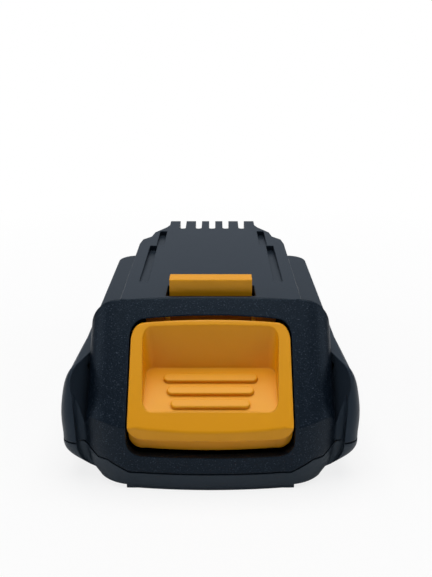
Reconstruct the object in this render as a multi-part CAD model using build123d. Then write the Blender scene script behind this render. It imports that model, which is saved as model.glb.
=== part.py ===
"""Slim slide-on battery pack of a cordless power tool, with five cells in one row.

It is modelled with the button face at Y = 0 and the terminal end at +Y, standing on Z = 0,
and it is written out with its origin at the middle of its base.
"""

from build123d import *
import math
import os

# Cells, and the stack of parts that they stand in
cell_diameter = 18.2
cell_length = 65.0
cell_gap = 0.2
cell_count = 5
cell_row_setback = 7.4
foot_height = 1.2
wall = 2.4
side_wall = 2.6
cell_lift = 1.0
strip_thickness = 0.3
insulator_thickness = 0.8
end_clearance = 0.9
board_lift = 1.6
board_thickness = 1.6
parts_headroom = 3.3
rear_boss_space = 4.2

# Slide tower, its rails, and the nose in front of it
rail_rise = 13.9
tower_half_width = 25.6
flange_thickness = 4.2
rail_groove_height = 5.2
rail_groove_depth = 3.0
plinth_inset = 1.0
nose_depth = 25.8
nose_side_step = 3.3
cheek_lean = 4.0
nose_rise = 0.7
nose_front_height = 17.65
crown_radius = 400.0
crown_corner_radius = 8.0
front_bow = 1.2
front_flat_step = 2.4
nose_corner_setback = 6.2
wing_reach = 3.1
wing_front_setback = 4.8
wing_tip_length = 5.2
flute_depth = 1.3
flare_length = 28.0
rear_corner_radius = 6.5
edge_radius = 0.8

# Parting line between the two shells, and the groove that shows it
parting_height = 5.3
parting_step = 3.1
parting_wing_step = 3.4
parting_groove = 0.5

# Release latch: the button in the nose and the bar on the tower are one piece
latch_travel = 4.8
latch_bar_step = 8.45
latch_web_step = 1.7
spring_step = 4.8
latch_thickness = 5.0
latch_ramp = 3.4
latch_setback = 2.9
latch_web = 3.0
latch_shoulder = 2.6
slot_gap = 0.5
slot_side_gap = 1.0
opening_side_step = 11.4
opening_sill = 4.7
opening_top_setback = 3.8
opening_corner_radius = 4.3
opening_arch_radius = 205.0
button_gap = 0.45
button_stop_gap = 0.3
button_wall = 1.8
skirt_gap = 0.4
skirt_depth = 4.2
skirt_length = 12.9
rim_width = 2.9
rim_top = 1.6
crease_radius = 1.2
recess_floor_drop = 5.9
recess_front = 3.4
recess_draft = 1.1
recess_corner_radius = 2.6
rib_height = 1.0
rib_width = 3.0
rib_pitch = 4.5
rib_length = 26.0
rib_shortening = 2.35
rib_count = 3
spring_length = 9.6
spring_wire = 0.7
spring_mean_radius = 2.4
spring_turns = 5
spring_wire_sides = 8

# Cell holders and the board
holder_front = 1.2
holder_rear = 1.4
holder_top = 1.0
holder_clearance = 0.2
shelf_thickness = 1.6
shelf_reach = 12.0
shelf_length = 9.6
post_radius = 1.5
post_length = 2.6
nub_height = 0.8
nub_radius = 3.6
can_bevel = 0.7
crimp_place = 3.2
crimp_depth = 0.5
board_end_setback = 0.4
strip_half_height = 3.5
strip_end = 4.0
tab_width = 3.0
tab_foot = 4.2
sensor_radius = 1.6
transistor_size = 9.0
can_radius = 4.0

# Terminal end
slot_width = 2.4
slot_length = 12.0
slot_depth = 13.6
slot_places = [-11.3, -5.2, 0.0, 5.2, 11.3]
block_half_width = 13.9
block_length = 15.0
block_drop = 0.5
contact_drop = 5.4
contact_sheet = 0.5
contact_length = 8.0
block_floor = 3.0
groove_depth = 1.9
groove_near_depth = 0.7
groove_width = 2.6
groove_jog = 2.2
groove_wall = 4.0

# Screws and fits
screw_radius = 1.1
screw_head_radius = 2.0
screw_head_height = 1.6
screw_length = 13.0
screw_recess = 1.0
screw_side_step = 4.5
screw_front_step = 4.9
rear_screw_step = 7.5
board_side_step = 3.5
board_screw_radius = 0.9
board_screw_length = 3.6
board_screw_inset = 5.0
clear = 0.3
small_radius = 0.4
overrun = 5.0

# Sizes that follow from the ones above
cell_row_front = nose_depth - cell_row_setback
cell_radius = cell_diameter / 2
cell_pitch = cell_diameter + cell_gap
cell_row_end = cell_row_front + cell_pitch * (cell_count - 1) + cell_diameter
cell_places = [cell_row_front + cell_radius + cell_pitch * n for n in range(cell_count)]
rear_inside = cell_row_end + rear_boss_space
pack_length = rear_inside + side_wall
inner_half_width = cell_length / 2 + strip_thickness + insulator_thickness + end_clearance
body_half_width = inner_half_width + side_wall
wing_half_width = body_half_width + wing_reach
nose_half_width = body_half_width - nose_side_step
opening_half_width = nose_half_width - opening_side_step
front_flat_half_width = opening_half_width - front_flat_step
board_half_width = inner_half_width - board_side_step
holder_length = cell_length / 2 - clear / 2 - opening_half_width
floor_top = foot_height + wall
cell_bottom = floor_top + cell_lift
cell_centre = cell_bottom + cell_radius
cell_top = cell_bottom + cell_diameter
board_bottom = cell_top + board_lift
board_top = board_bottom + board_thickness
roof_inside = board_top + parts_headroom
shoulder_height = roof_inside + wall
tower_height = shoulder_height + rail_rise
tower_inside = tower_height - wall
tower_inner_half_width = tower_half_width - rail_groove_depth - wall
latch_half_width = tower_inner_half_width - latch_bar_step
latch_web_half_width = tower_inner_half_width - latch_web_step
spring_half_spacing = tower_inner_half_width - spring_step
front_screw_half_spacing = nose_half_width - screw_side_step
front_screw_setback = cell_row_front - holder_front - clear - screw_front_step
rear_screw_half_spacing = inner_half_width - rear_screw_step
slope_foot = nose_front_height
slope_tangent = (tower_height + nose_rise - nose_front_height) / nose_depth
nose_slope = math.degrees(math.atan(slope_tangent))
opening_bottom = parting_height + opening_sill
opening_top_place = nose_depth - opening_top_setback
opening_top = slope_foot + opening_top_place * slope_tangent
lip_bottom = opening_bottom + latch_travel + button_stop_gap
button_half_width = opening_half_width - button_gap
button_top = opening_top - button_gap * (1 + slope_tangent)
recess_back = (button_top - rim_top - slope_foot) / slope_tangent
recess_front_height = slope_foot + recess_front * slope_tangent
recess_back_height = recess_front_height + recess_floor_drop
web_bottom = cell_top + clear + shelf_thickness + spring_length
web_top = web_bottom + latch_web
latch_front = nose_depth + latch_setback
latch_back = latch_front + latch_thickness
latch_top = tower_height + latch_travel
board_front = cell_row_front + cell_pitch + holder_rear - cell_gap * 10
board_end = cell_row_end - board_end_setback
button_back = (button_top - slope_foot) / slope_tangent
skirt_end = wall + skirt_gap + skirt_length
block_front = rear_inside - clear - block_length
slot_start = pack_length - slot_length
contact_end = slot_start + contact_length / 2
contact_base = board_top + block_floor
clip_height = tower_inside - block_drop - contact_drop - contact_base


def joined(shape):
    """The same shape as one part."""
    return Part() + shape.solids()


def span(x_low, x_high, y_low, y_high, z_low, z_high):
    """A block between two corners."""
    middle = ((x_low + x_high) / 2, (y_low + y_high) / 2, (z_low + z_high) / 2)
    return Pos(*middle) * Box(x_high - x_low, y_high - y_low, z_high - z_low)


def block(half_width, y_low, y_high, z_low, z_high):
    """A block that is centred on the pack's middle plane."""
    return span(-half_width, half_width, y_low, y_high, z_low, z_high)


def segment(points):
    """A straight edge through two points, or an arc through three."""
    return Line(*points) if len(points) == 2 else ThreePointArc(*points)


def mirrored_face(right_half):
    """A face from its right half's edges, given from the front of the middle plane to the rear."""
    left_half = [[(-x, y) for x, y in reversed(points)] for points in reversed(right_half)]
    return make_face([segment(points) for points in right_half + left_half])


def between(start, end, share_x, share_y):
    """The point at the given shares of the way from start to end."""
    return (start[0] + share_x * (end[0] - start[0]), start[1] + share_y * (end[1] - start[1]))


def nose_edges(corner, front, inset):
    """The bowed front of the nose in plan, from the middle to its side corner."""
    middle = (0, front + inset)
    flat = (front_flat_half_width - inset, front + front_bow + inset)
    near = between(middle, flat, 0.5, 0.25)
    far = between(flat, corner, 0.65, 0.34)
    return [[middle, near, flat], [flat, far, corner]]


# Each row of shares: height, side, wing tip, nose corner, wing reach, front edge of the wing, rear.
BODY_SECTION_SHARES = [
    (0.038, 0.930, 0.800, 0.885, 0.20, 1.75, 0.979),
    (0.090, 0.950, 0.822, 0.915, 0.30, 1.62, 0.985),
    (0.135, 0.970, 0.866, 0.940, 0.55, 1.45, 0.990),
    (0.190, 0.985, 0.930, 0.958, 0.80, 1.30, 0.996),
    (0.255, 0.992, 0.984, 0.970, 0.95, 1.16, 0.998),
    (0.380, 1.000, 1.002, 0.980, 1.00, 1.04, 1.000),
    (0.570, 1.000, 1.006, 0.985, 1.00, 1.00, 1.000),
    (0.760, 1.000, 0.990, 0.988, 1.00, 1.05, 1.000),
    (0.900, 0.998, 0.964, 0.988, 0.96, 1.20, 1.000),
    (0.972, 0.990, 0.934, 0.988, 0.88, 1.50, 0.997),
    (1.000, 0.966, 0.896, 0.988, 0.74, 2.05, 0.989),
]


def body_section(shares, inset):
    """Plan outline of the body at one height, from the nose round the wing to the rear."""
    height_share, side_share, tip_share, corner_share, reach_share, wing_share, rear_share = shares
    side = body_half_width * side_share - inset
    corner = (nose_half_width * corner_share - inset, nose_corner_setback + inset)
    wing = (corner[0] + wing_reach * reach_share, wing_front_setback * wing_share + inset)
    tip = (wing_half_width * tip_share - inset, wing[1] + wing_tip_length)
    valley = between(corner, wing, 0.5, 0.5)
    flute = (valley[0], valley[1] + flute_depth * reach_share)
    flare_end = (side, wing_front_setback + flare_length)
    rear = pack_length * rear_share - inset
    rear_side = (side, rear - rear_corner_radius)
    rear_end = (side - rear_corner_radius, rear)
    corner_share = 1 - math.sqrt(0.5)
    rear_middle = (side - rear_corner_radius * corner_share, rear - rear_corner_radius * corner_share)
    edges = nose_edges(corner, 0, inset)
    edges += [[corner, flute, wing], [wing, between(wing, tip, 0.72, 0.24), tip]]
    edges += [[tip, between(tip, flare_end, 0.38, 0.5), flare_end], [flare_end, rear_side]]
    edges += [[rear_side, rear_middle, rear_end], [rear_end, (0, rear)]]
    return Pos(0, 0, shoulder_height * height_share) * mirrored_face(edges)


def body_form(inset=0):
    """The body below the shoulders, with its wings, lofted up from the base."""
    return joined(loft([body_section(shares, inset) for shares in BODY_SECTION_SHARES]))


def slope_form(lowered, half_width):
    """Everything under the nose's crowned slope, as one sheared prism."""
    crown = tower_height + nose_rise - lowered
    corner_centre_x = half_width - crown_corner_radius
    lean = math.asin(corner_centre_x / (crown_radius - crown_corner_radius))
    big_centre = crown - crown_radius
    corner_centre_z = big_centre + (crown_radius - crown_corner_radius) * math.cos(lean)
    joint = (crown_radius * math.sin(lean), big_centre + crown_radius * math.cos(lean))
    half_lean = lean / 2
    crown_middle = (crown_radius * math.sin(half_lean), big_centre + crown_radius * math.cos(half_lean))
    turn = (lean + math.pi / 2) / 2
    corner_middle = (
        corner_centre_x + crown_corner_radius * math.sin(turn),
        corner_centre_z + crown_corner_radius * math.cos(turn),
    )
    corner_end = (half_width, corner_centre_z)
    deep = -crown * 2
    cheek = (half_width + wing_reach * 4, corner_centre_z + wing_reach * 4 * cheek_lean)
    edges = [[(0, crown), crown_middle, joint], [joint, corner_middle, corner_end], [corner_end, cheek]]
    section = mirrored_face(edges + [[cheek, (cheek[0], deep)], [(cheek[0], deep), (0, deep)]])
    face = Plane(origin=(0, nose_depth, 0), x_dir=(1, 0, 0), z_dir=(0, -1, 0)) * section
    direction = (0, -math.cos(math.radians(nose_slope)), -math.sin(math.radians(nose_slope)))
    return joined(extrude(face, amount=nose_depth * 2, dir=direction))


def nose_prism(inset, half_width, y_end, z_low, z_high):
    """The nose's bowed plan as an upright prism."""
    corner = (nose_half_width - inset, nose_corner_setback + inset)
    edges = nose_edges(corner, 0, inset) + [[corner, (corner[0], y_end)], [(corner[0], y_end), (0, y_end)]]
    prism = extrude(Pos(0, 0, z_low) * mirrored_face(edges), z_high - z_low)
    return joined(prism & block(half_width, -overrun, y_end, z_low, z_high))


# Each pair: half width as a share of the tower's, and distance from the front as a share of its length.
TOWER_END_SHARES = [
    (1.0, 0.640),
    (0.975, 0.700),
    (0.865, 0.745),
    (0.835, 0.810),
    (0.685, 0.892),
    (0.640, 0.935),
]


def tower_outline():
    """Plan of the tower, which steps in towards its terminal end."""
    length = pack_length - nose_depth
    right = [(tower_half_width * x, nose_depth + length * y) for x, y in TOWER_END_SHARES]
    right = [(tower_half_width, nose_depth)] + right + [(right[-1][0], pack_length)]
    points = right + [(-x, y) for x, y in reversed(right)]
    face = make_face(Polyline(*points, close=True))
    corners = [v for v in face.vertices() if nose_depth < v.Y < pack_length]
    return fillet(corners, edge_radius)


def tower():
    """The slide tower: flange, rail grooves under it, and plinth on the shoulders."""
    outline = tower_outline()
    low = shoulder_height - wall
    solid = extrude(Pos(0, 0, low) * outline, tower_height - low)
    top_edges = solid.faces().sort_by(Axis.Z)[-1].edges()
    solid = fillet([e for e in top_edges if e.center().Y > nose_depth + small_radius], small_radius)
    groove_top = tower_height - flange_thickness
    groove_bottom = groove_top - rail_groove_height
    outside = tower_half_width + overrun
    for side in (-1, 1):
        groove_x = sorted((side * (tower_half_width - rail_groove_depth), side * outside))
        plinth_x = sorted((side * (tower_half_width - plinth_inset), side * outside))
        solid -= span(*groove_x, nose_depth, pack_length, groove_bottom, groove_top)
        solid -= span(*plinth_x, nose_depth, pack_length, low, groove_bottom)
    return solid


def foot_pad():
    """The flat foot under the base."""
    half_width = nose_half_width * 0.67
    return nose_prism(small_radius, half_width, pack_length - nose_depth, 0, foot_height + small_radius)


def outer_form():
    """Both shells closed and solid."""
    over = tower_height + overrun
    nose = block(nose_half_width, nose_corner_setback * 2, nose_depth, roof_inside - wall, over)
    above = block(wing_half_width + overrun, -overrun, nose_depth, parting_height, over * 2)
    form = joined(body_form() + nose) - joined(above - slope_form(0, nose_half_width))
    return joined(joined(form) + joined(tower()) + foot_pad())


def cavity():
    """The inside of both shells."""
    base_half_width = inner_half_width - (foot_height + small_radius * 0.5)
    rear_low = rear_inside - side_wall + small_radius * 2
    bench = floor_top + wall + clear * 6
    front = cell_row_front - holder_front - clear
    room = block(base_half_width, front, rear_low, floor_top, bench)
    room += block(inner_half_width, front, rear_inside, bench, roof_inside)
    rear_edges = [e for e in room.edges().filter_by(Axis.Z) if e.center().Y > rear_low - clear]
    room = fillet(rear_edges, rear_corner_radius - side_wall)
    narrow_share = TOWER_END_SHARES[3][1]
    wide_end = nose_depth + (pack_length - nose_depth) * TOWER_END_SHARES[2][1]
    room += block(tower_inner_half_width, front, wide_end, roof_inside - clear, tower_inside)
    room += block(block_half_width + clear, front, rear_inside, roof_inside - clear, tower_inside)
    button_room = opening_half_width + button_wall
    room += nose_prism(wall, button_room, front + clear, floor_top, tower_height)
    low = roof_inside - clear
    nose_room = nose_prism(wall, nose_half_width - wall, nose_depth - wall, low, tower_height)
    room += nose_room & block(nose_half_width, front, nose_depth, low, tower_height)
    over_nose = block(nose_half_width, -overrun, nose_depth, 0, tower_height * 2)
    skin = wall / math.cos(math.radians(nose_slope))
    return joined(joined(room) - joined(over_nose - slope_form(skin, nose_half_width)))


def elevation_face(half_width, low, high, sag, radius):
    """A rounded rectangle seen from the front, with an arched top."""
    corner = (half_width, high - sag)
    edges = [Line((-half_width, low), (half_width, low)), Line((half_width, low), corner)]
    other = (-half_width, high - sag)
    edges += [ThreePointArc(corner, (0, high), other), Line(other, (-half_width, low))]
    face = make_face(edges)
    return fillet(face.vertices(), radius)


def front_prism(face, y_low, y_high):
    """A front elevation pushed back from y_low to y_high."""
    plane = Plane(origin=(0, y_high, 0), x_dir=(1, 0, 0), z_dir=(0, -1, 0))
    return joined(extrude(plane * face, y_high - y_low))


def arch_sag(half_width):
    """How far the arched top of the opening falls from its middle to this half width."""
    return opening_arch_radius - math.sqrt(opening_arch_radius**2 - half_width**2)


def parting_form(shift):
    """Everything under the parting surface, which steps up towards the wings."""
    half = wing_half_width + overrun
    level = parting_height + shift
    mid = level + parting_step
    wing = mid + parting_wing_step
    # Each share is of the nose's half width.
    first, second, third, fourth = [nose_half_width * share for share in (0.64, 0.82, 0.90, 1.02)]
    right = [(0, level), (first, level), (second, mid), (third, mid), (fourth, wing), (half, wing)]
    right += [(half, -overrun)]
    left = [(-x, z) for x, z in reversed(right)]
    face = make_face(Polyline(*right, *left[:-1], close=True))
    bends = [v for v in face.vertices() if v.Y > 0 and abs(v.X) < half - small_radius]
    return front_prism(fillet(bends, edge_radius), -overrun, pack_length + overrun)


def terminal_slots():
    """The open-ended slots that the tool's blades enter."""
    start = pack_length - slot_length
    cuts = []
    for place in slot_places:
        low = tower_height - slot_depth
        high = tower_height + overrun
        half = slot_width / 2
        cuts.append(span(place - half, place + half, start + half, pack_length + overrun, low, high))
        cuts.append(Pos(place, start + half, (low + high) / 2) * Cylinder(half, high - low))
    return cuts


def ramp_groove(side, outer, y_low, y_high):
    """A round-ended guide groove whose floor ramps down towards the terminal end."""
    over = tower_height + clear
    near, far = tower_height - groove_near_depth, tower_height - groove_depth
    profile = make_face(Polyline((y_low, near), (y_high, far), (y_high, over), (y_low, over), close=True))
    x_low = min(side * outer, side * (outer - groove_width))
    groove = Pos(x_low, 0, 0) * extrude(Plane.YZ * profile, groove_width)
    near_edges = [e for e in groove.edges().filter_by(Axis.Z) if e.center().Y < y_low + small_radius]
    return fillet(near_edges, groove_width * 0.4)


def guide_grooves():
    """The two stepped grooves on the tower's top."""
    length = pack_length - nose_depth
    outer = tower_half_width - groove_wall
    near_end = nose_depth + length * 0.605
    cuts = []
    for side in (-1, 1):
        cuts.append(ramp_groove(side, outer, nose_depth + length * 0.165, near_end))
        cuts.append(ramp_groove(side, outer - groove_jog, near_end - clear, nose_depth + length * 0.825))
    return cuts


def latch_slot():
    """The hole in the tower's top that the latch bar stands through."""
    back = latch_back + latch_ramp + slot_gap
    half_width = latch_half_width + slot_side_gap
    return block(half_width, latch_front - slot_gap, back, tower_inside - clear, tower_height + overrun)


def screw_places():
    """The four housing screws: x, y."""
    rear = cell_row_end + rear_boss_space / 2
    front = [(side * front_screw_half_spacing, front_screw_setback) for side in (-1, 1)]
    return front + [(side * rear_screw_half_spacing, rear) for side in (-1, 1)]


def screw_cut(x, y):
    """Clearance for one screw: its head's recess and its thread's hole."""
    head_top = foot_height + screw_recess + screw_head_height
    head = Pos(x, y, head_top / 2) * Cylinder(screw_head_radius + clear, head_top)
    return head + Pos(x, y, head_top + screw_length / 2) * Cylinder(screw_radius, screw_length)


def rear_bosses():
    """The upright bosses against the rear wall that the rear screws turn into."""
    radius = rear_boss_space / 2 - cell_gap / 2
    low = floor_top - wall / 2
    high = roof_inside + wall / 2
    bosses = []
    for x, y in screw_places()[2:]:
        bosses.append(Pos(x, y, (low + high) / 2) * Cylinder(radius, high - low))
        bosses.append(span(x - radius, x + radius, y, rear_inside + clear, low, high))
    return bosses


def housings():
    """The two shells."""
    form = outer_form()
    shell = form - cavity()
    sag = arch_sag(opening_half_width)
    opening = elevation_face(opening_half_width, opening_bottom, opening_top, sag, opening_corner_radius)
    shell -= front_prism(opening, -overrun, nose_depth - wall / 2)
    shell -= latch_slot()
    shell -= terminal_slots()
    shell -= guide_grooves()
    shell += rear_bosses()
    shell -= [screw_cut(x, y) for x, y in screw_places()]
    shell = joined(shell)
    lower = joined(shell & parting_form(0))
    step = joined(parting_form(0) - parting_form(-parting_groove))
    lower -= joined(step - body_form(parting_groove))
    return joined(shell - parting_form(0)), joined(lower)


def side_prism(points, half_width):
    """An outline of (y, z) points pushed out both ways from the middle plane."""
    face = make_face(Polyline(*points, close=True))
    return joined(extrude(Plane.YZ * face, half_width, both=True))


def recess_floor(y):
    """Height of the thumb recess's floor."""
    rise = recess_floor_drop / (recess_back - recess_front)
    return recess_front_height + (y - recess_front) * rise


def button_shell():
    """The button's outside and its hollow underside."""
    sag = arch_sag(button_half_width)
    radius = opening_corner_radius - button_gap
    face = elevation_face(button_half_width, lip_bottom, button_top, sag, radius)
    solid = front_prism(face, -overrun, button_back) & slope_form(0, nose_half_width)
    solid = joined(joined(solid) & nose_prism(0, nose_half_width, nose_depth, 0, tower_height))
    long_edges = [e for e in solid.edges() if e.length > opening_corner_radius]
    crease = [e for e in long_edges if e.center().Y < front_bow and e.center().Z > slope_foot]
    solid = fillet(crease, crease_radius)
    skirt_front = wall + skirt_gap
    inner_half_width = button_half_width - button_wall
    skirt_low = lip_bottom - skirt_depth
    skirt = nose_prism(skirt_front, button_half_width, skirt_end, skirt_low, lip_bottom + clear)
    skirt_face = elevation_face(button_half_width, skirt_low, button_top, sag, radius)
    skirt = joined(joined(skirt) & front_prism(skirt_face, 0, nose_depth))
    skirt -= nose_prism(skirt_front + button_wall, inner_half_width, nose_depth, 0, tower_height)
    low, high = recess_floor(0) - button_wall, recess_floor(nose_depth) - button_wall
    under = [(0, 0), (nose_depth, 0), (nose_depth, high), (0, low)]
    hollow = side_prism(under, inner_half_width)
    hollow = hollow & nose_prism(skirt_front + button_wall, inner_half_width, nose_depth, 0, tower_height)
    relief_height = recess_back_height + button_wall
    bend = recess_back + small_radius * 2
    behind = [(skirt_end, 0), (nose_depth, 0), (nose_depth, relief_height), (button_back, relief_height)]
    behind += [(bend, recess_floor(bend) - button_wall), (skirt_end, recess_floor(skirt_end) - button_wall)]
    return joined(joined(solid) + skirt) - joined(hollow) - side_prism(behind, opening_half_width)


def thumb_recess():
    """The drafted pocket in the button's slope, above its sloping floor."""
    middle = (recess_front + recess_back) / 2
    length = recess_back - recess_front
    width = (button_half_width - rim_width) * 2
    low = recess_front_height - recess_draft
    faces = []
    for height, draft in ((low, recess_draft), (button_top + recess_draft, 0)):
        outline = RectangleRounded(width - draft * 2, length - draft, recess_corner_radius)
        faces.append(Pos(0, middle - draft / 2 + recess_draft / 2, height) * outline)
    pocket = loft(faces)
    floor = [(0, 0), (nose_depth, 0), (nose_depth, recess_floor(nose_depth)), (0, recess_floor(0))]
    return joined(pocket - side_prism(floor, opening_half_width))


def grip_ribs():
    """The raised bars on the recess's floor."""
    tilt = math.degrees(math.atan(recess_floor_drop / (recess_back - recess_front)))
    ribs = []
    for n in range(rib_count):
        y = recess_back - rib_pitch * (n + 1)
        outline = SlotOverall(rib_length - rib_shortening * n, rib_width)
        rib = extrude(outline, (rib_height + clear) / 2, both=True)
        rib = fillet(rib.faces().sort_by(Axis.Z)[-1].edges(), small_radius)
        ribs.append(Pos(0, y, recess_floor(y) + (rib_height - clear) / 2) * Rot(tilt, 0, 0) * rib)
    return ribs


def release_latch():
    """Button, web and latch bar as one moulded piece."""
    latch = joined(button_shell()) - thumb_recess()
    latch += grip_ribs()
    bar_back = latch_back + latch_ramp
    latch += block(latch_web_half_width, recess_back + small_radius, bar_back, web_bottom, web_top)
    top = latch_top
    bar = [(latch_front, web_top - clear), (latch_front, top), (latch_back, top), (bar_back, tower_height)]
    bar += [(bar_back, web_top - clear)]
    bar = side_prism(bar, latch_half_width)
    crest = [e for e in bar.edges().filter_by(Axis.X) if e.center().Z > top - small_radius]
    latch += fillet(crest, small_radius)
    stop_high = tower_inside - clear
    stop_front, stop_back = latch_front - latch_shoulder, latch_front + latch_shoulder
    stop_low = latch_half_width + slot_side_gap + clear * 2
    for side in (-1, 1):
        ends = sorted((side * stop_low, side * latch_web_half_width))
        latch += span(*ends, stop_front, stop_back, web_top - clear, stop_high)
        peg = Pos(side * spring_half_spacing, cell_places[0], web_bottom - post_length / 2 + clear / 2)
        latch += peg * Cylinder(post_radius, post_length + clear)
    return joined(latch)


def latch_spring(side):
    """One helical spring between a holder's shelf and the latch's web."""
    rise = spring_length - spring_wire
    helix = Helix(rise / spring_turns, rise, spring_mean_radius)
    wire = Plane(origin=helix @ 0, z_dir=helix % 0) * RegularPolygon(spring_wire / 2, spring_wire_sides)
    coil = sweep(wire, path=helix, is_frenet=True)
    low = web_bottom - spring_length + spring_wire / 2
    return Pos(side * spring_half_spacing, cell_places[0], low) * coil


def cell(number):
    """A cell lying across the pack; odd ones have their positive end at +X."""
    end = cell_length / 2
    rim = end - nub_height
    waist = rim - crimp_place
    profile = Polyline(
        (-end, 0),
        (-end, cell_radius - can_bevel),
        (-end + can_bevel, cell_radius),
        (waist - can_bevel, cell_radius),
        (waist, cell_radius - crimp_depth),
        (waist + can_bevel, cell_radius),
        (rim - can_bevel, cell_radius),
        (rim, cell_radius - can_bevel),
        (rim, nub_radius),
        (end, nub_radius),
        (end, 0),
        close=True,
    )
    turned = revolve(make_face(profile), Axis.X)
    facing = 0 if number % 2 == 0 else 180
    return Pos(0, cell_places[number], cell_centre) * Rot(0, 0, facing) * turned


def insulator_ring(number):
    """The washer round a cell's positive end."""
    side = 1 if number % 2 == 0 else -1
    thickness = nub_height / 2
    ring = Cylinder(cell_radius - can_bevel, thickness) - Cylinder(nub_radius + clear, thickness)
    place = side * (cell_length / 2 - nub_height + thickness / 2)
    return Pos(place, cell_places[number], cell_centre) * Rot(0, 90, 0) * ring


def screw_posts(side):
    """Where the board's screws stand on one side: x, y."""
    gaps = [cell_places[n] + cell_pitch / 2 for n in (1, 3)]
    return [(side * (board_half_width - board_screw_inset), y) for y in gaps]


def cell_holder(side):
    """The cradle round one end of the cells, with the latch spring's shelf."""
    outer = cell_length / 2 - clear / 2
    inner = outer - holder_length
    high = cell_top + holder_top
    front, end = cell_row_front - holder_front, cell_row_end - holder_front
    holder = span(inner, outer, front, end, floor_top + clear / 2, high)
    shelf_low = cell_top + clear
    shelf_high = shelf_low + shelf_thickness
    shelf_y = (cell_places[0] - shelf_length / 2, cell_places[0] + shelf_length / 2)
    holder += span(shelf_reach, inner + wall, *shelf_y, shelf_low, shelf_high)
    post = Pos(spring_half_spacing, cell_places[0], shelf_high + post_radius / 2 - clear / 2)
    holder += post * Cylinder(post_radius, post_radius + clear)
    stand_height = board_bottom - high + clear
    for x, y in screw_posts(1):
        holder += Pos(x, y, board_bottom - stand_height / 2) * Cylinder(post_radius * 2, stand_height)
        holder -= Pos(x, y, board_bottom) * Cylinder(board_screw_radius, board_screw_length * 2)
    bore = Cylinder(cell_radius + holder_clearance, holder_length * 3)
    for y in cell_places:
        holder -= Pos(outer, y, cell_centre) * Rot(0, 90, 0) * bore
    return joined(holder) if side > 0 else joined(mirror(holder, Plane.YZ))


def strip(side, first, last, tab_y):
    """A nickel strip over cell ends, with a tab up to the board."""
    inner = cell_length / 2
    outer = inner + strip_thickness
    low, high = cell_centre - strip_half_height, cell_centre + strip_half_height
    start = min(cell_places[first] - strip_end, tab_y - tab_width / 2)
    end = max(cell_places[last] + strip_end, tab_y + tab_width / 2)
    band = span(inner, outer, start, end, low, high)
    tab = (tab_y - tab_width / 2, tab_y + tab_width / 2)
    band += span(inner, outer, *tab, high - clear, board_top + strip_thickness)
    band += span(outer - tab_foot, outer, *tab, board_top, board_top + strip_thickness)
    return joined(band) if side > 0 else joined(mirror(band, Plane.YZ))


def end_insulator(side):
    """The fish paper between the strips and the housing's side."""
    inner = cell_length / 2 + strip_thickness + clear / 3
    outer = inner + insulator_thickness
    sheet = span(inner, outer, cell_row_front, cell_row_end, floor_top + latch_travel, board_bottom)
    corners = sheet.edges().filter_by(Axis.X)
    sheet = fillet(corners, can_bevel)
    return sheet if side > 0 else joined(mirror(sheet, Plane.YZ))


def circuit_board():
    """The board over the cells."""
    board = block(board_half_width, board_front, board_end, board_bottom, board_top)
    board = fillet(board.edges().filter_by(Axis.Z), post_radius)
    for side in (-1, 1):
        for x, y in screw_posts(side):
            board -= Pos(x, y, board_top) * Cylinder(board_screw_radius + clear, board_thickness * 3)
    return joined(board)


def board_screw(x, y):
    """A pan-head screw through the board."""
    shank_length = board_thickness + board_screw_length - clear * 4
    shank = Pos(x, y, board_top - shank_length / 2) * Cylinder(board_screw_radius, shank_length)
    head_height = board_screw_radius
    head = Pos(x, y, board_top + head_height / 2) * Cylinder(board_screw_radius * 2, head_height)
    return joined(shank + head)


def clip_pocket(place):
    """Room for one clip in the terminal block."""
    half = slot_width / 2 + contact_sheet + clear
    high = tower_height - wall - block_drop - contact_drop / 2
    near, far = contact_end - contact_length - clear, contact_end + clear
    return span(place - half, place + half, near, far, contact_base, high)


def terminal_block():
    """The moulded block that carries the five clips under the slots."""
    solid = block(block_half_width, block_front, rear_inside - clear, board_top, tower_inside - block_drop)
    solid = fillet(solid.edges().filter_by(Axis.Z), edge_radius)
    low = tower_height - slot_depth
    for place in slot_places:
        half = slot_width / 2
        solid -= span(place - half, place + half, slot_start, pack_length, low, tower_height)
        solid -= clip_pocket(place)
    return joined(solid)


def contact_clip(place):
    """A sprung clip of two leaves that lean in on the tool's blade."""
    foot = slot_width / 2 + contact_sheet
    height = clip_height
    base = contact_base + clear / 2
    outside = [(foot, 0), (foot, height * 0.45), (foot * 0.45, height * 0.82), (foot * 0.85, height)]
    inside = [(x - contact_sheet, z) for x, z in reversed(outside)]
    inside[-1] = (foot - contact_sheet, contact_sheet)
    right = outside + inside
    points = right + [(-x, z) for x, z in reversed(right)]
    face = make_face(Polyline(*points, close=True))
    plane = Plane(origin=(place, contact_end, base), x_dir=(1, 0, 0), z_dir=(0, -1, 0))
    return joined(extrude(plane * face, contact_length))


def transistor(x, y):
    """A surface-mount power transistor with its tab and legs."""
    size = transistor_size
    body = span(x - size / 2, x + size / 2, y - size / 2, y + size / 2, board_top, board_top + size * 0.3)
    tab = size * 0.45
    body += span(x - tab, x + tab, y + tab, y + size * 0.68, board_top, board_top + size * 0.08)
    for place in (-0.3, 0, 0.3):
        leg_x = x + size * place
        body += span(leg_x - clear, leg_x + clear, y - size * 0.7, y, board_top, board_top + size * 0.06)
    return joined(body)


def controller_chip():
    """A flat control chip with legs on two sides."""
    x, y = 0, cell_places[2]
    size = transistor_size
    chip = block(size * 0.4, y - size / 2, y + size / 2, board_top + clear / 2, board_top + size * 0.16)
    for n in range(7):
        leg_y = y + size * (n - 3) * 0.14
        chip += block(size * 0.56, leg_y - clear / 2, leg_y + clear / 2, board_top, board_top + clear)
    return joined(chip)


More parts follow.
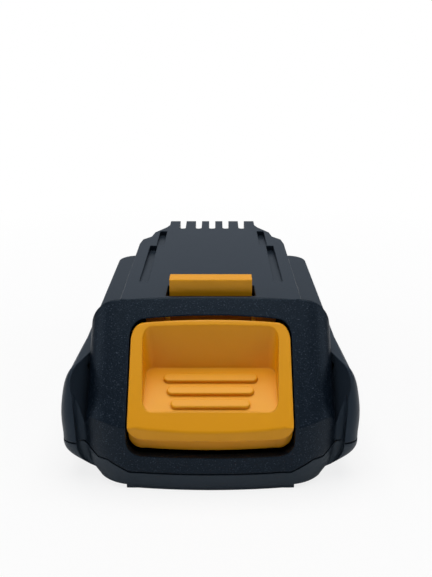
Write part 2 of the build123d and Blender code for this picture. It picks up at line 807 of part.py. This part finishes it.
def capacitor(x, y):
    """A can capacitor on its square foot."""
    foot = Pos(x, y, board_top + clear) * Box(can_radius * 2, can_radius * 2, clear * 2)
    can = Pos(x, y, board_top + clear + can_radius * 1.2) * Cylinder(can_radius * 0.95, can_radius * 2.4)
    can = fillet(can.edges().sort_by(Axis.Z)[-1:], small_radius)
    return joined(foot + can)


def housing_screw(x, y):
    """A pan-head screw with a six-lobed socket, from under the base."""
    head_low = foot_height + screw_recess
    head = Pos(x, y, head_low + screw_head_height / 2) * Cylinder(screw_head_radius, screw_head_height)
    shank_length = screw_length - clear * 2
    shank = Pos(x, y, head_low + screw_head_height + shank_length / 2 - clear / 2)
    screw = head + shank * Cylinder(screw_radius, shank_length + clear)
    socket = Pos(x, y, head_low) * RegularPolygon(screw_head_radius * 0.55, 6)
    return joined(screw - extrude(socket, screw_head_height * 0.6))


def write(name, shape):
    """Write one piece, or several alike, with the origin at the middle of the base."""
    pieces = shape if isinstance(shape, list) else [shape]
    moved = [Pos(0, -pack_length / 2, 0) * solid for piece in pieces for solid in piece.solids()]
    export_step(moved[0] if len(moved) == 1 else Compound(children=moved), "parts/" + name + ".step")


os.makedirs("parts", exist_ok=True)
upper_housing, lower_housing = housings()
write("upper_housing", upper_housing)
write("lower_housing", lower_housing)
write("release_latch", release_latch())
write("latch_spring_left", latch_spring(-1))
write("latch_spring_right", latch_spring(1))
for n in range(cell_count):
    write("cell_" + str(n + 1), cell(n))
write("cell_insulator_rings", [insulator_ring(n) for n in range(cell_count)])
write("cell_holder_left", cell_holder(-1))
write("cell_holder_right", cell_holder(1))
gap_places = [y + cell_pitch / 2 for y in cell_places]
write("strip_negative", strip(-1, 0, 0, gap_places[0]))
write("strip_link_1_2", strip(1, 0, 1, gap_places[0]))
write("strip_link_2_3", strip(-1, 1, 2, gap_places[1]))
write("strip_link_3_4", strip(1, 2, 3, gap_places[2]))
write("strip_link_4_5", strip(-1, 3, 4, gap_places[3]))
write("strip_positive", strip(1, 4, 4, cell_places[4]))
write("end_insulator_left", end_insulator(-1))
write("end_insulator_right", end_insulator(1))
write("circuit_board", circuit_board())
write("board_screws", [board_screw(x, y) for side in (-1, 1) for x, y in screw_posts(side)])
write("terminal_block", terminal_block())
clip_names = ["power_clip_negative", "signal_clip_left", "signal_clip_centre"]
clip_names += ["signal_clip_right", "power_clip_positive"]
for name, place in zip(clip_names, slot_places):
    write(name, contact_clip(place))
transistor_pitch = transistor_size * 1.2
write("power_transistors", [transistor(n * transistor_pitch, cell_places[3]) for n in (-1, 0, 1)])
write("controller_chip", controller_chip())
write("board_capacitors", [capacitor(side * can_radius * 1.4, cell_places[1]) for side in (-1, 1)])
sensor_y = (cell_places[2] - sensor_radius, cell_places[2] + sensor_radius)
sensor_z = (cell_top + clear / 2, board_bottom - clear / 2)
write("temperature_sensor", block(sensor_radius * 2, *sensor_y, *sensor_z))
write("housing_screws", [housing_screw(x, y) for x, y in screw_places()])
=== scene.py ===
"""Looks of a slim slide-on power tool battery pack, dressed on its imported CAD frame."""

import math

import bmesh
import bpy
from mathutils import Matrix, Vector


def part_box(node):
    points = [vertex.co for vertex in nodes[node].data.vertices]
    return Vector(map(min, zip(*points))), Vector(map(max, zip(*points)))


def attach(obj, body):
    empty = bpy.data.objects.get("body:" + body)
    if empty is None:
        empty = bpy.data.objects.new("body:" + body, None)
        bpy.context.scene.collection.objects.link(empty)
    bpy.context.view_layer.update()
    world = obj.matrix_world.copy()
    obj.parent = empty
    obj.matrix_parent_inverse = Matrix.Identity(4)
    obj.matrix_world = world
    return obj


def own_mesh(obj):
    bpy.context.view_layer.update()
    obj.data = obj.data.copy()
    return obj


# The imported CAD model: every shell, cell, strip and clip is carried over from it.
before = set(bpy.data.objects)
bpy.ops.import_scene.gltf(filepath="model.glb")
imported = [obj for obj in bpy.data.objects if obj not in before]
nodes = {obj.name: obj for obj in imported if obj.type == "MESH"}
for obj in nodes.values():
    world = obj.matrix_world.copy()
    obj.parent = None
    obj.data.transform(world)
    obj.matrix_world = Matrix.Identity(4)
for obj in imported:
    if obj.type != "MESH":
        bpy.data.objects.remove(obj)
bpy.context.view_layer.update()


# The two shells are injection-moulded in one dark blue-grey nylon. The nose carries a
# fine spark texture, the tower and the shoulders come out of a smoother tool, and the
# lower shell has a satin skin. Four screws from below hold the two together.
class Signal:
    """One socket of a material, with arithmetic on it."""

    def __init__(self, recipe, socket):
        self.recipe = recipe
        self.socket = socket

    def maths(self, operation, *values, clamp=False):
        settings = {"operation": operation, "use_clamp": clamp}
        return self.recipe.node("ShaderNodeMath", settings, dict(enumerate(values)))

    def __add__(self, other):
        return self.maths("ADD", self, other)

    def __sub__(self, other):
        return self.maths("SUBTRACT", self, other)

    def __rsub__(self, other):
        return self.maths("SUBTRACT", other, self)

    def __mul__(self, other):
        return self.maths("MULTIPLY", self, other)

    __radd__ = __add__
    __rmul__ = __mul__

    def fade(self, low, high):
        """0 below low and 1 above high, straight in between."""
        return self.maths("MULTIPLY", self - low, 1 / (high - low), clamp=True)

    def size(self):
        return self.maths("ABSOLUTE", self)


class Finish:
    """A material that is built up from one Principled shader."""

    def __init__(self, name, **plain):
        self.material = bpy.data.materials.new(name)
        self.material.use_nodes = True
        self.tree = self.material.node_tree
        self.shader = self.tree.nodes["Principled BSDF"]
        for socket, value in plain.items():
            self.shader.inputs[socket.replace("_", " ")].default_value = value

    def node(self, kind, settings=None, inputs=None, output=0):
        made = self.tree.nodes.new(kind)
        for setting, value in (settings or {}).items():
            setattr(made, setting, value)
        for socket, value in (inputs or {}).items():
            if isinstance(value, Signal):
                self.tree.links.new(value.socket, made.inputs[socket])
            else:
                made.inputs[socket].default_value = value
        return Signal(self, made.outputs[output])

    def place(self):
        """The shaded point in object coordinates."""
        return self.node("ShaderNodeTexCoord", output="Object")

    def part(self, point, axis):
        """One coordinate of a point: 0 is across the pack and 1 is along it."""
        return self.node("ShaderNodeSeparateXYZ", inputs={0: point}, output=axis)

    def noise(self, point, scale, detail=2.0, rough=0.5):
        values = {"Vector": point, "Scale": scale, "Detail": detail, "Roughness": rough}
        return self.node("ShaderNodeTexNoise", inputs=values)

    def blend(self, mask, first, second):
        values = {0: mask, 6: first, 7: second}
        return self.node("ShaderNodeMix", {"data_type": "RGBA"}, values, output=2)

    def feed(self, **signals):
        for socket, signal in signals.items():
            self.tree.links.new(signal.socket, self.shader.inputs[socket.replace("_", " ")])

    def relief(self, height, distance, strength=1.0, round_edges=0.0):
        values = {"Height": height, "Distance": distance, "Strength": strength}
        if round_edges:
            rounding = {"Radius": round_edges}
            values["Normal"] = self.node("ShaderNodeBevel", {"samples": 6}, rounding)
        self.feed(Normal=self.node("ShaderNodeBump", inputs=values))


def wear_material(node, finish):
    """Give a carried-over CAD node its finish, in every slot."""
    mesh = nodes[node].data
    if not mesh.materials:
        mesh.materials.append(finish.material)
    for slot in nodes[node].material_slots:
        slot.material = finish.material


nose_depth = 0.0258
nose_seam_blur = 0.0002
cheek_seam_start, cheek_seam_end = 0.0334, 0.0342
spark_scale, spark_depth = 2600, 0.0001
shell_rounding = 0.0005
smooth_dark, smooth_pale = (0.012, 0.018, 0.026, 1), (0.016, 0.023, 0.033, 1)
nose_dark, nose_pale = (0.001, 0.003, 0.006, 1), (0.004, 0.008, 0.015, 1)
# Blue-grey colour of the painted glints on the nose.
painted_glint_blue = (0.044, 0.056, 0.074, 1)
nylon_sheen = (0.55, 0.76, 1.0, 1)

shell = Finish("moulded_shell", Specular_IOR_Level=0.24, Specular_Tint=nylon_sheen)
point = shell.place()
nose_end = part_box("upper_housing")[0][1] + nose_depth
behind_nose = shell.part(point, 1).fade(nose_end - nose_seam_blur, nose_end + nose_seam_blur)
beside_nose = shell.part(point, 0).size().fade(cheek_seam_start, cheek_seam_end)
on_nose = (1 - behind_nose) * (1 - beside_nose)
spark = shell.noise(point, spark_scale, 3, 0.6)
cloud = shell.noise(point, 38, 4, 0.6)
flow = shell.noise(point, 9, 2, 0.4)
smooth_grey = shell.blend(cloud, smooth_dark, smooth_pale)
nose_grey = shell.blend(spark.fade(0.35, 0.62), nose_dark, nose_pale)
# Painted glints: bright flecks in the nose's colour stand in for the sparkle of light on its
# spark texture.
painted_glints = spark.fade(0.60, 0.70) * on_nose
nose_grey = shell.blend(painted_glints, nose_grey, painted_glint_blue)
shell.feed(Base_Color=shell.blend(on_nose, smooth_grey, nose_grey))
shell.feed(Roughness=0.31 + flow * 0.06 + spark * (0.06 * on_nose + 0.05))
shell.relief(spark * (on_nose * 0.75 + 0.25), spark_depth, 0.7, round_edges=shell_rounding)
wear_material("upper_housing", shell)

satin_dark, satin_pale = (0.012, 0.018, 0.026, 1), (0.017, 0.024, 0.032, 1)
satin_sheen = (0.70, 0.85, 1.0, 1)
satin_depth, satin_rounding = 0.00004, 0.0004

base_shell = Finish("lower_shell", Specular_IOR_Level=0.45, Specular_Tint=satin_sheen)
point = base_shell.place()
grain = base_shell.noise(point, 1900, 2, 0.5)
drift = base_shell.noise(point, 26, 3, 0.5)
base_shell.feed(Base_Color=base_shell.blend(drift, satin_dark, satin_pale))
base_shell.feed(Roughness=0.42 + grain * 0.10)
base_shell.relief(grain, satin_depth, 0.4, round_edges=satin_rounding)
wear_material("lower_housing", base_shell)


# The release button and its latch bar are one moulding in solid yellow, so that the
# hand finds it. The whole of it comes out of a lightly textured tool, with its edges
# softened.
deep_yellow, light_yellow = (0.80, 0.330, 0.001, 1), (0.86, 0.362, 0.002, 1)
latch_grain_depth, latch_rounding = 0.00004, 0.0006

latch_yellow = Finish("release_yellow", Specular_IOR_Level=0.3)
point = latch_yellow.place()
grain = latch_yellow.noise(point, 1500, 2, 0.5)
drift = latch_yellow.noise(point, 30, 3, 0.5)
yellow = latch_yellow.blend(drift, deep_yellow, light_yellow)
latch_yellow.feed(Base_Color=yellow, Roughness=0.34 + grain * 0.14)
latch_yellow.relief(grain, latch_grain_depth, 0.35, round_edges=latch_rounding)
wear_material("release_latch", latch_yellow)


# Spring wire, screws, clips and capacitor cans are plain metals, each with fine marks
# in its skin. The two springs stand on the cell holders; in the pack they shorten as the
# latch goes down, and here each only gets a mesh of its own.
metal_relief = 0.00003


def metal(name, low, high, rough, scale):
    finish = Finish(name, Metallic=1.0)
    marks = finish.noise(finish.place(), scale, 3, 0.6)
    finish.feed(Base_Color=finish.blend(marks, low, high), Roughness=rough + marks * 0.15)
    finish.relief(marks, metal_relief, 0.3)
    return finish


wire_dark, wire_pale = (0.42, 0.42, 0.43, 1), (0.62, 0.62, 0.62, 1)
screw_dark, screw_pale = (0.05, 0.05, 0.055, 1), (0.11, 0.11, 0.115, 1)
clip_dark, clip_pale = (0.62, 0.53, 0.36, 1), (0.74, 0.66, 0.48, 1)
can_dark, can_pale = (0.60, 0.61, 0.62, 1), (0.74, 0.75, 0.76, 1)
spring_wire = metal("spring_wire", wire_dark, wire_pale, 0.25, 900)
screw_black = metal("screw_black", screw_dark, screw_pale, 0.35, 700)
clip_metal = metal("clip_metal", clip_dark, clip_pale, 0.22, 500)
can_metal = metal("capacitor_can", can_dark, can_pale, 0.25, 400)
for node in ("latch_spring_left", "latch_spring_right"):
    wear_material(node, spring_wire)
    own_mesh(nodes[node])
for node in ("board_screws", "housing_screws"):
    wear_material(node, screw_black)
for node in nodes:
    if node.startswith(("power_clip_", "signal_clip_")):
        wear_material(node, clip_metal)
wear_material("board_capacitors", can_metal)


# The strips that join the cells are rolled nickel. They carry the dimples of the weld
# spots that hold them to the cell ends.
nickel_dark, nickel_pale = (0.50, 0.49, 0.45, 1), (0.70, 0.68, 0.63, 1)
weld_depth = 0.0001

nickel = Finish("nickel_strip", Metallic=1.0)
point = nickel.place()
rolled = nickel.noise(point, 220, 4, 0.7)
spots = nickel.node("ShaderNodeTexVoronoi", inputs={"Vector": point, "Scale": 420.0})
nickel.feed(Base_Color=nickel.blend(rolled, nickel_dark, nickel_pale))
nickel.feed(Roughness=0.28 + rolled * 0.2)
nickel.relief(spots.fade(0.1, 0.3), weld_depth, 0.4)
for node in nodes:
    if node.startswith("strip_"):
        wear_material(node, nickel)


# The cells are steel cans in a shrink sleeve. The sleeve stops just short of the ends,
# where the bare can and the positive cap show.
sleeve_end, can_start = 0.0308, 0.0309
film_dark, film_pale = (0.020, 0.16, 0.28, 1), (0.028, 0.20, 0.33, 1)
bare_steel = (0.62, 0.61, 0.58, 1)
wrinkle_depth = 0.00006

sleeve = Finish("cell_sleeve", Coat_Weight=0.2)
point = sleeve.place()
bare_end = sleeve.part(point, 0).size().fade(sleeve_end, can_start)
shrink = sleeve.noise(point, 160, 3, 0.5)
film = sleeve.blend(shrink, film_dark, film_pale)
sleeve.feed(Base_Color=sleeve.blend(bare_end, film, bare_steel))
sleeve.feed(Metallic=bare_end, Roughness=0.30 + shrink * 0.12)
sleeve.relief(shrink, wrinkle_depth, 0.4)
for node in nodes:
    if node.startswith("cell_") and node[5:].isdigit():
        wear_material(node, sleeve)


# Holders and the terminal block are moulded in black, the washers and end sheets are
# punched from fibre paper, and the chips are moulded in epoxy.
fine_rounding = 0.0002


def moulding(name, low, high, rough, scale, depth):
    finish = Finish(name)
    skin = finish.noise(finish.place(), scale, 3, 0.6)
    finish.feed(Base_Color=finish.blend(skin, low, high), Roughness=rough + skin * 0.15)
    finish.relief(skin, depth, 0.5, round_edges=fine_rounding)
    return finish


holder_dark, holder_pale = (0.030, 0.030, 0.032, 1), (0.042, 0.042, 0.045, 1)
block_dark, block_pale = (0.020, 0.020, 0.022, 1), (0.032, 0.032, 0.034, 1)
epoxy_dark, epoxy_pale = (0.014, 0.014, 0.015, 1), (0.026, 0.026, 0.028, 1)
paper_dark, paper_pale = (0.42, 0.47, 0.38, 1), (0.58, 0.62, 0.53, 1)
holder_black = moulding("holder_black", holder_dark, holder_pale, 0.45, 900, 0.00005)
block_black = moulding("terminal_black", block_dark, block_pale, 0.40, 900, 0.00004)
chip_black = moulding("chip_epoxy", epoxy_dark, epoxy_pale, 0.50, 1800, 0.00003)
fibre_paper = moulding("fibre_paper", paper_dark, paper_pale, 0.75, 600, 0.00008)
for node in ("cell_holder_left", "cell_holder_right"):
    wear_material(node, holder_black)
wear_material("terminal_block", block_black)
for node in ("power_transistors", "controller_chip", "temperature_sensor"):
    wear_material(node, chip_black)
for node in ("cell_insulator_rings", "end_insulator_left", "end_insulator_right"):
    wear_material(node, fibre_paper)


# The board is glass laminate under green solder mask, with broad copper runs that show
# through it as paler bands.
mask_green, run_green = (0.010, 0.085, 0.035, 1), (0.020, 0.150, 0.060, 1)
copper_depth = 0.00004

board = Finish("board_mask", Coat_Weight=0.3)
point = board.place()
bands = {"Vector": point, "Scale": 90.0, "Distortion": 6.0}
runs = board.node("ShaderNodeTexWave", {"wave_type": "BANDS"}, bands, 1)
weave = board.noise(point, 1200, 2, 0.5)
copper = runs.fade(0.52, 0.56)
board.feed(Base_Color=board.blend(copper, mask_green, run_green))
board.feed(Roughness=0.30 + weave * 0.12)
board.relief(copper, copper_depth, 0.6)
wear_material("circuit_board", board)


# The gate mark: where the nylon entered the tool, in the middle of the tower, a small
# ring is left with a dimple inside it, cut flush when the moulding came out.
gate_place = Vector((0.0, 0.0051, 0.0456))
gate_radius = 0.0011
gate_step = 0.00025
ring_height, dimple_depth = 0.00015, 0.00013

gate = bpy.data.objects.new("gate_mark", bpy.data.meshes.new("gate_mark"))
bpy.context.collection.objects.link(gate)
form = bmesh.new()
bmesh.ops.create_circle(form, cap_ends=True, cap_tris=False, segments=32, radius=gate_radius)
bmesh.ops.inset_region(form, faces=form.faces[:], thickness=gate_step, depth=ring_height)
middle = [face for face in form.faces if len(face.verts) > 4]
bmesh.ops.inset_region(form, faces=middle, thickness=gate_step, depth=-dimple_depth)
bmesh.ops.translate(form, verts=form.verts, vec=gate_place)
form.to_mesh(gate.data)
form.free()
gate.data.materials.append(shell.material)
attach(gate, "pack")


# The studio: a pale floor that is white to the camera, a broad soft lamp overhead, a
# weak one low behind the pack, which the tower's top mirrors, and two at the sides.
floor_size, floor_drop = 4.0, 0.0001
shadow_reach, white_reach = 0.06, 0.3
least_white = 0.82
paper_white = (0.86, 0.86, 0.86, 1)
pure_white = (1, 1, 1, 1)

floor = bpy.data.objects.new("floor", bpy.data.meshes.new("floor"))
bpy.context.collection.objects.link(floor)
form = bmesh.new()
bmesh.ops.create_grid(form, x_segments=1, y_segments=1, size=floor_size)
bmesh.ops.translate(form, verts=form.verts, vec=(0, 0, -floor_drop))
form.to_mesh(floor.data)
form.free()
paper = Finish("studio_floor", Base_Color=paper_white, Roughness=0.9)
seen = paper.node("ShaderNodeLightPath", output="Is Camera Ray")
measure = {"operation": "LENGTH"}
reach = paper.node("ShaderNodeVectorMath", measure, {0: paper.place()}, output=1)
away = reach.fade(shadow_reach, white_reach)
white = paper.node("ShaderNodeEmission", inputs={"Color": pure_white, "Strength": 1.0})
lit = Signal(paper, paper.shader.outputs[0])
share = seen * (least_white + away * (1 - least_white))
dressed = paper.node("ShaderNodeMixShader", inputs={0: share, 1: lit, 2: white})
paper.tree.links.new(dressed.socket, paper.tree.nodes["Material Output"].inputs["Surface"])
floor.data.materials.append(paper.material)

dim_sky = (0.100, 0.125, 0.160, 1)
world = bpy.data.worlds.new("studio")
bpy.context.scene.world = world
world.use_nodes = True
tree = world.node_tree
for old in list(tree.nodes):
    tree.nodes.remove(old)
out = tree.nodes.new("ShaderNodeOutputWorld")
dim, bright = tree.nodes.new("ShaderNodeBackground"), tree.nodes.new("ShaderNodeBackground")
dim.inputs["Color"].default_value = dim_sky
bright.inputs["Color"].default_value = pure_white
path, mix = tree.nodes.new("ShaderNodeLightPath"), tree.nodes.new("ShaderNodeMixShader")
tree.links.new(path.outputs["Is Camera Ray"], mix.inputs[0])
tree.links.new(dim.outputs[0], mix.inputs[1])
tree.links.new(bright.outputs[0], mix.inputs[2])
tree.links.new(mix.outputs[0], out.inputs[0])


def soft_lamp(name, place, target, size, watts, colour=(1, 1, 1)):
    lamp = bpy.data.objects.new(name, bpy.data.lights.new(name, "AREA"))
    lamp.data.shape = "RECTANGLE"
    lamp.data.size, lamp.data.size_y = size
    lamp.data.energy = watts
    lamp.data.color = colour
    lamp.location = place
    aim = Vector(target) - Vector(place)
    lamp.rotation_euler = aim.to_track_quat("-Z", "Y").to_euler()
    bpy.context.collection.objects.link(lamp)


warm, cool = (1.0, 0.97, 0.93), (0.95, 0.97, 1.0)
soft_lamp("overhead", (0.0, 0.10, 1.0), (0, 0, 0), (0.9, 0.95), 9.4, warm)
soft_lamp("back_sheet", (0.0, 1.2, 0.55), (0, 0, 0.03), (1.6, 0.7), 1.15, cool)
soft_lamp("left_fill", (-0.9, -0.2, 0.5), (0, 0, 0.02), (0.5, 0.5), 1.6)
soft_lamp("right_fill", (0.9, -0.1, 0.5), (0, 0, 0.02), (0.5, 0.5), 1.4)


# The camera stands in front of the button and looks down on it, as in the photograph.
photo_height = 577
focal_pixels = 750.0
sensor_height = 36.0
look_down = math.radians(19.02)
camera = bpy.data.objects.new("camera", bpy.data.cameras.new("camera"))
bpy.context.collection.objects.link(camera)
camera.data.sensor_width = sensor_height
camera.data.lens = focal_pixels / photo_height * sensor_height
camera.location = (0.0015, -0.2314, 0.1172)
camera.rotation_euler = (math.pi / 2 - look_down, 0, 0)
bpy.context.scene.camera = camera
bpy.context.scene.view_settings.view_transform = "Standard"
